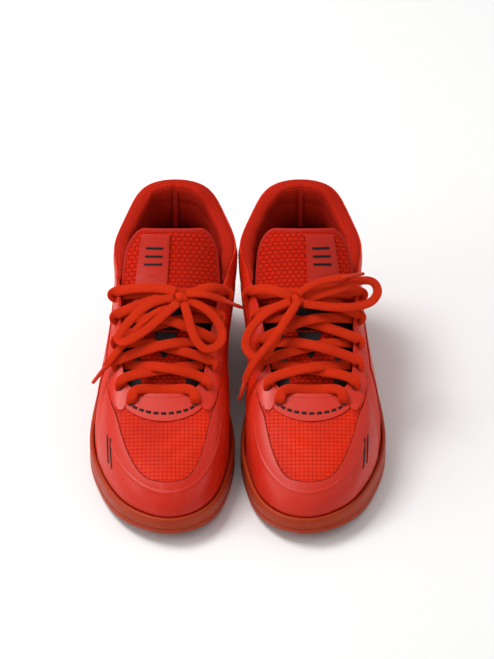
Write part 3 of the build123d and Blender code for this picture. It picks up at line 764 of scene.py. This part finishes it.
def collar(side):
    """The padded collar: foam rolled over the topline and down inside, pulled in at the heel seam."""
    profile = np.array([
        (0.74, 1.4), (0.84, 1.4), (0.93, 1.3), (0.985, 1.2), (1.004, 1.6), (1.014, 3.0), (1.017, 5.0),
        (1.013, 7.2), (1.002, 9.2), (0.97, 10.9), (0.92, 11.4), (0.85, 11.2), (0.77, 10.6),
        (0.69, 9.8), (0.61, 8.4), (0.55, 6.4), (0.51, 4.4), (0.49, 2.9), (0.52, 1.8), (0.62, 1.4),
    ])
    smooth = spline_through(np.arange(len(profile)), profile, float(len(profile)))
    ring = smooth(np.arange(0, len(profile), 1 / 3))
    u = np.linspace(0.6, 1.4, 150)
    edge = np.minimum(u, 2 - u)
    full = np.clip((edge - 0.6) / 0.09, 0.03, 1.0) ** 0.6
    seam = np.exp(-(((u - 1.0) / 0.008) ** 2))
    soft = 1.0 + 0.05 * np.sin(u * 37.0) + 0.03 * np.sin(u * 83.0 + 1.0)
    v = np.repeat(ring[None, :, 0], len(u), 0)
    thick = (ring[None, :, 1] - 1.3) * (full * soft * (1 - 0.14 * seam))[:, None] + 1.3
    channel = np.exp(-(((v - 0.845) / 0.016) ** 2)) * (ring[None, :, 1] > 6.0)
    points = skin(np.repeat(u[:, None], len(ring), 1), v, thick - 0.9 * channel * full[:, None])
    n, m = points.shape[:2]
    faces = grid_faces(n, m, wrap_columns=True)
    faces += [list(range(m))[::-1], list(range((n - 1) * m, n * m))]
    span_mm = np.repeat(u[:, None] * 330.0, m, 1)
    round_mm = np.repeat(ring[None, :, 0] * 95.0 + ring[None, :, 1], n, 0)
    obj = finish_piece(
        f"{side}_collar", place(points, side), faces, np.stack([span_mm, round_mm], -1).reshape(-1, 2),
        COLLAR, f"{side}_shoe", [f"{side}_collar_pad_lateral", f"{side}_collar_pad_medial"],
    )
    tape = ribbon(skin, [(1.0, v) for v in np.linspace(0.58, 0.96, 30)], 3.2, -11.6)
    finish_piece(f"{side}_heel_seam_tape", place(tape[0], side), tape[1], tape[0][:, 1:], PIPING,
                 f"{side}_shoe", [], 0.2)


def eyelet_rings(side):
    """The punched eyelets: a pressed edge round each hole, and a black disc over it that is painted shade for
    the dark inside of the hole.
    """
    rings, holes = [], []
    phi = np.arange(20) * 2 * np.pi / 20
    tube = np.arange(8) * 2 * np.pi / 8
    for u in [s for e in EYELETS for s in (e, 2 - e)]:
        middle = skin(u, EYELET_V, -FIT - FILM)
        out = unit(skin(u, EYELET_V, -3.0) - middle)
        x = unit(skin(u + 0.004, EYELET_V, -FIT - FILM) - middle)
        y = np.cross(out, x)
        around = np.cos(phi)[:, None] * x + np.sin(phi)[:, None] * y
        ring = middle + around[:, None] * (2.7 + 0.55 * np.cos(tube))[None, :, None] \
            + out * (0.3 * np.sin(tube))[None, :, None]
        rings.append((ring.reshape(-1, 3), grid_faces(20, 8, wrap_rows=True, wrap_columns=True)))
        # A black disc over each hole: painted shade for the dark inside of the hole.
        disc = [middle + out * h + around * 2.5 for h in (-0.2, 0.06)]
        faces = grid_faces(2, 20, wrap_columns=True) + [list(range(20))[::-1], list(range(20, 40))]
        holes.append((np.concatenate(disc), faces))
    for name, parts, material in (("eyelet_edges", rings, EYELET), ("eyelet_holes", holes, INK_AND_HOLE_SHADE)):
        points, faces = join(parts)
        finish_piece(f"{side}_{name}", place(points, side), faces, points[:, :2], material,
                     f"{side}_shoe", [])


def marks(side):
    """Plain prints: two slanted strokes at the side of the toe, and a row of dashes on the band."""
    rise = FIT + FILM
    strokes = [along_line([(u, 0.28), (u + 0.014, 0.5)]) for u in (0.184, 0.204)]
    parts = [ribbon(skin, stroke, 1.5, rise + 0.12) for stroke in strokes]
    for k in range(9):
        middle = (k - 4) * 0.027
        parts.append(ribbon(skin, [(middle + d, 0.885) for d in (-0.009, 0.0, 0.009)], 2.2, rise + 0.05))
    points, faces = join(parts)
    finish_piece(f"{side}_upper_prints", place(points, side), faces, points[:, :2], INK_AND_HOLE_SHADE,
                 f"{side}_shoe", [])


def guard_seam(side):
    """A narrow dark line on the ripstop where the toe film ends, darker than the cloth round it."""
    us = np.linspace(-0.24, 0.24, 140)
    line = ribbon(skin, np.stack([us, guard_edge(us) + 0.006], -1), 0.7, 0.02, 0.12)
    finish_piece(f"{side}_guard_edge_line", place(line[0], side), line[1], line[0][:, :2], DARK_EDGE_LINE,
                 f"{side}_shoe", [])


def upper_stitches(side):
    """Stitch rows: along the throat, under the collar and up the heel."""
    rise = FIT + FILM
    parts = []
    for flip in (lambda u: u, lambda u: 2 - u):
        us = np.linspace(0.16, 0.61, 60)
        parts.append(stitches(skin, [(flip(u), 0.972) for u in us], rise))
        parts.append(stitches(skin, [(flip(u), 0.765) for u in us], rise))
        parts.append(stitches(skin, [(flip(u), 0.9) for u in np.linspace(0.66, 0.985, 60)], 0.15))
        parts.append(stitches(skin, [(flip(0.988), v) for v in np.linspace(0.54, 0.95, 30)], 0.15))
    parts.append(stitches(skin, [(u, 0.975) for u in np.linspace(-0.13, 0.13, 40)], rise))
    points, faces = join(parts)
    finish_piece(f"{side}_upper_stitches", place(points, side), faces, points[:, :2], THREAD,
                 f"{side}_shoe", [])


# ---- tongue ----
def tongue_width(s):
    """The tongue's corners are rounded at its top."""
    q = np.clip((s - 0.88) / 0.12, 0.0, 1.0)
    return 1.0 - 0.34 * (1.0 - np.sqrt(1.0 - (q * 0.985) ** 2))


def swelling(s, t):
    """How far the padding lifts the tongue's face, in millimetres."""
    return 1.17 * (1 - t**4) * np.clip((s - 0.5) / 0.2, 0, 1) * np.clip((1 - s) / 0.05, 0, 1) ** 0.5


def on_label(s, t, depth):
    """Points of the face of the label film, which lies on the swollen tongue."""
    return tongue_point(s, t, depth - FIT - FILM - swelling(s, t))


def tongue_film(s0, s1, t0, t1):
    """A film bonded to the tongue: t0 and t1 are numbers or functions of s."""
    a, b = np.meshgrid(np.linspace(s0, s1, 24), np.linspace(0, 1, 16), indexing="ij")
    low = t0(a) if callable(t0) else t0
    high = t1(a) if callable(t1) else t1
    c = low + (high - low) * b
    return shell(on_label(a, c, 0.0), tongue_point(a, c, 0.3 - swelling(a, c)))


def tongue_piece(side, name, shape, material, nodes=(), bevel=0.0):
    points, faces = shape
    finish_piece(f"{side}_{name}", place(points, side), faces, points[:, :2], material,
                 f"{side}_tongue", [f"{side}_{n}" for n in nodes], bevel)


def tongue(side):
    body = f"{side}_tongue"
    s = np.linspace(0.0, 1.0, 90)
    t = np.linspace(-1.0, 1.0, 60)
    ss, tt = np.meshgrid(s, t, indexing="ij")
    wide = tongue_width(ss) * tt
    thick = np.maximum(tongue_line(ss)[..., 3] * (1 - 0.6 * tt**4), 1.2)
    points, faces = shell(tongue_point(ss, wide, 0.4 - swelling(ss, tt)), tongue_point(ss, wide, thick))
    uv = np.stack([points[:, 0], 0.75 * points[:, 1] + 0.66 * points[:, 2]], -1)
    obj = finish_piece(f"{side}_tongue_pad", place(points, side), faces, uv, TONGUE_MESH, body,
                       [f"{side}_tongue"], 0.8)

    up = np.linspace(0.55, 1.0, 40)
    over = np.linspace(-1.0, 1.0, 50)
    run = [(a, -tongue_width(a)) for a in up] + [(1.0, tongue_width(1.0) * b) for b in over[1:-1]] \
        + [(a, tongue_width(a)) for a in up[::-1]]
    run = np.array(run)
    edge = tongue_point(run[:, 0], run[:, 1], np.full(len(run), 2.2))
    points, faces, uv = lace_mesh(place(edge, side), 3.6, 3.6, (0.0, -0.6, 0.8), around=12)
    finish_piece(f"{side}_tongue_binding", points, faces, uv, PIPING, body, [])

    tongue_piece(side, "label_strip", tongue_film(0.62, 0.985, -0.74, -0.06), LABEL,
                 ["tongue_label"], 0.3)
    bars = [
        tongue_film(a, a + 0.062, lambda s, e=e: min(e, 0) * 1.5 * (s - 0.26) - e * 0.02,
                    lambda s, e=e: max(e, 0) * 1.5 * (s - 0.26) - e * 0.02)
        for a in (0.3, 0.375, 0.45, 0.53) for e in (-1, 1)
    ]
    tongue_piece(side, "emblem_bars", join(bars), INK_AND_HOLE_SHADE, ["tongue_emblem"], 0.2)
    prints = [ribbon(on_label, along_line([(a, -0.6), (a, -0.2)]), 1.8, 0.05) for a in (0.84, 0.88, 0.92)]
    tongue_piece(side, "label_prints", join(prints), INK_AND_HOLE_SHADE)
    border = along_line([(0.64, -0.7), (0.965, -0.7), (0.965, -0.1), (0.64, -0.1)], True)
    crossed = [[(0.75, -0.68), (0.805, -0.12)], [(0.805, -0.68), (0.75, -0.12)]]
    lines = [border] + [along_line(ends) for ends in crossed]
    rows = [stitches(on_label, line, 0.0, 1.6, 0.9, 0.26) for line in lines]
    tongue_piece(side, "label_stitches", join(rows), THREAD)
    patches = []
    for edges in ((-0.96, -0.5), (0.5, 0.96)):
        a, b = np.meshgrid(np.linspace(0.12, 0.6, 30), np.linspace(*edges, 12), indexing="ij")
        patches.append(shell(tongue_point(a, b, 0.15), tongue_point(a, b, 1.0)))
    tongue_piece(side, "tongue_side_patches", join(patches), INK_AND_HOLE_SHADE, bevel=0.2)


# ---- laces ----
def tongue_rest(y, t, height):
    """The middle of a lace that lies across the tongue at y, its underside height above the cloth."""
    s = np.arange(201) / 200
    s = s[np.argmin(np.abs(tongue_line(s)[:, 0] - y))]
    return tongue_point(s, t, -(LACE_R + height))


def eyelet_entry(u):
    """Three points of a lace that comes out of an eyelet and goes over the throat's edge."""
    above = FIT + FILM + LACE_R + 1.6
    return [skin(u, EYELET_V, 1.0), skin(u, EYELET_V, -above), skin(u, 1, -above)]


def held_laces(bow):
    """Routes of the held lace: the lowest bar, the crossings, and two strands to the knot."""
    first = EYELETS[0]
    bar = [*eyelet_entry(first), tongue_rest(topline(first)[1] + 3, 0, 0.5)]
    routes = [bar + eyelet_entry(2 - first)[::-1]]
    for k in range(1, len(EYELETS) - 1):
        for side in (-1, 1):
            start_u, end_u = EYELETS[k], 2 - EYELETS[k + 1]
            if side > 0:
                start_u, end_u = 2 - start_u, 2 - end_u
            y0, y1 = topline(start_u)[1], topline(end_u)[1]
            lift = UNDERLACE if (side < 0) == (k % 2 == 1) else UNDERLACE + CROSSING
            half, y, z = topline(end_u)[:3]
            under = np.array([centre_x(y)[0] + half + side * 2.0, y, z - TEXTILE - LACE_R - 0.3])
            shoulder = tongue_rest(y0 + 0.76 * (y1 - y0), -side * 0.55, 1.8)
            routes.append([*eyelet_entry(start_u), tongue_rest((y0 + y1) / 2, 0, lift), shoulder, under])
    knot = np.array(bow["knot"])
    for u, side in ((EYELETS[-1], -1), (2 - EYELETS[-1], 1)):
        knee = knot + np.array([side * 18.0, 7.5, 5.5])
        end = knot + np.array([side * 3.8, 3.2, 1.6 - side * 1.8])
        routes.append([*eyelet_entry(u), knee, end])
    return routes


def lace_piece(side, name, line, up, nodes, width, gripped):
    points, faces, uv = lace_mesh(line, width, LACE_THICK, up, gripped=gripped)
    return finish_piece(f"{side}_{name}", points, faces, uv, LACE, f"{side}_shoe",
                        [f"{side}_{n}" for n in nodes])


def knot(side, middle):
    """The bow's knot: one turn of lace round the middle, and a second that crosses it on the slant."""
    middle = place(middle, side)[0]
    parts = []
    for tilt, radius, shift in ((0.12, 3.3, -1.4), (-0.5, 3.0, 1.6)):
        phi = np.arange(40) * 2 * np.pi / 40
        axis = np.array([math.cos(tilt), 0.0, math.sin(tilt)])
        a = np.array([0.0, 1.0, 0.0])
        b = np.cross(axis, a)
        out = np.cos(phi)[:, None] * a + np.sin(phi)[:, None] * b
        line = middle + axis * shift / 1000 + out * radius / 1000
        parts.append(lace_mesh(line, 5.6, 2.6, out, closed=True))
    points, faces, uv = join_uv(parts)
    finish_piece(f"{side}_knot", points, faces, uv, LACE, f"{side}_shoe", [f"{side}_lace_knot"])


def aglet(side, name, tip, along, nodes):
    """The plastic sheath on a lace's end, pinched where it grips the weave."""
    stations = [
        (-0.8, 1.2), (0.0, 1.55), (0.7, 1.4), (1.2, 1.62), (8.0, 1.55), (14.6, 1.4), (15.6, 1.05),
        (16.0, 0.4),
    ]
    phi = np.arange(16) * 2 * np.pi / 16
    x = unit(np.cross(along, (0.3, 0.2, 1.0)))
    y = np.cross(along, x)
    rings = [tip + along * d / 1000 + (np.cos(phi)[:, None] * x + np.sin(phi)[:, None] * y) * r / 1000
             for d, r in stations]
    points = np.concatenate(rings)
    faces = grid_faces(len(rings), 16, wrap_columns=True)
    faces += [list(range(16))[::-1], list(range(len(points) - 16, len(points)))]
    return finish_piece(f"{side}_{name}", points, faces, points[:, :2] * 1000, TIP,
                        f"{side}_shoe", nodes)


def laces(side, bow):
    up = (0.0, -0.5, 0.86)
    parts = [lace_mesh(nurbs(place(route, side)), HELD_WIDTH, HELD_THICK, up) for route in held_laces(bow)]
    points, faces, uv = join_uv(parts)
    finish_piece(f"{side}_held_lace", points, faces, uv, LACE, f"{side}_shoe",
                 [f"{side}_laces"])
    knot(side, bow["knot"])
    for name, route in bow.items():
        if name == "knot":
            continue
        control = place(route, side)
        pieces, width, gripped = [], LACE_WIDTH, 0.0
        if "end" in name:
            along = unit(control[-1] - control[-2])
            pieces = [aglet(side, name.replace("lace_end", "aglet"), control[-1], along, [f"{side}_aglets"])]
            control = np.concatenate([control, [control[-1] + along * AGLET / 1000]])
            width, gripped = END_WIDTH, AGLET
        line = nurbs(control)
        cord = lace_piece(side, name + "_cord", line, up, [name], width, gripped)


# ---- the pair ----
for side, bow in (("right", RIGHT_BOW), ("left", LEFT_BOW)):
    cup_sole(side)
    upper(side)
    collar(side)
    eyelet_rings(side)
    marks(side)
    guard_seam(side)
    upper_stitches(side)
    tongue(side)
    laces(side, bow)
    hidden = {"midsole": FOAM, "shank_plate": SHANK, "lasting_board": BOARD, "insole": HEEL_LINING,
              "toe_puff": STIFF, "heel_counter": STIFF}
    for node, material in hidden.items():
        obj = frame["nodes"][f"{side}_{node}"]
        obj.data.materials.clear()
        obj.data.materials.append(material)


# ---- studio ----
def area_light(name, energy, size, where, aim):
    light = bpy.data.lights.new(name, "AREA")
    light.energy = energy
    light.size = size
    obj = bpy.data.objects.new(name, light)
    obj.location = where
    direction = np.array(aim, float) - np.array(where, float)
    obj.rotation_euler = Vector(direction).to_track_quat("-Z", "Y").to_euler()
    bpy.context.scene.collection.objects.link(obj)


def studio():
    material, tree, shader = start("floor")
    feed(tree, shader, Base_Color=mix(tree, noise(tree, 3.0), rgb(0.86, 0.86, 0.855), rgb(0.88, 0.88, 0.875)),
         Roughness=0.9)
    mesh = bpy.data.meshes.new("floor")
    mesh.from_pydata([(-6, -6, 0), (6, -6, 0), (6, 6, 0), (-6, 6, 0)], [], [(0, 1, 2, 3)])
    floor = bpy.data.objects.new("floor", mesh)
    mesh.materials.append(material)
    bpy.context.scene.collection.objects.link(floor)
    world = bpy.data.worlds.new("studio")
    world.use_nodes = True
    world.node_tree.nodes["Background"].inputs["Color"].default_value = (1.0, 1.0, 1.0, 1.0)
    world.node_tree.nodes["Background"].inputs["Strength"].default_value = 0.55
    bpy.context.scene.world = world
    area_light("key", 26.0, 0.8, (-0.8, 0.3, 1.8), (0.0, 0.0, 0.05))
    area_light("left", 6.0, 0.8, (-1.5, -0.5, 0.8), (0.0, 0.0, 0.05))
    area_light("right", 1.5, 0.8, (1.5, -0.3, 0.9), (0.0, 0.0, 0.05))


def camera():
    data = bpy.data.cameras.new("camera")
    data.sensor_fit = "HORIZONTAL"
    data.sensor_width = 36.0
    data.lens = 368.1
    data.shift_x = -0.0057
    obj = bpy.data.objects.new("camera", data)
    obj.location = (0.009, -2.940, 2.424)
    obj.rotation_euler = (math.radians(51.49), 0.0, 0.0)
    bpy.context.scene.collection.objects.link(obj)
    bpy.context.scene.camera = obj


studio()
camera()
bpy.context.scene.view_settings.view_transform = "Standard"
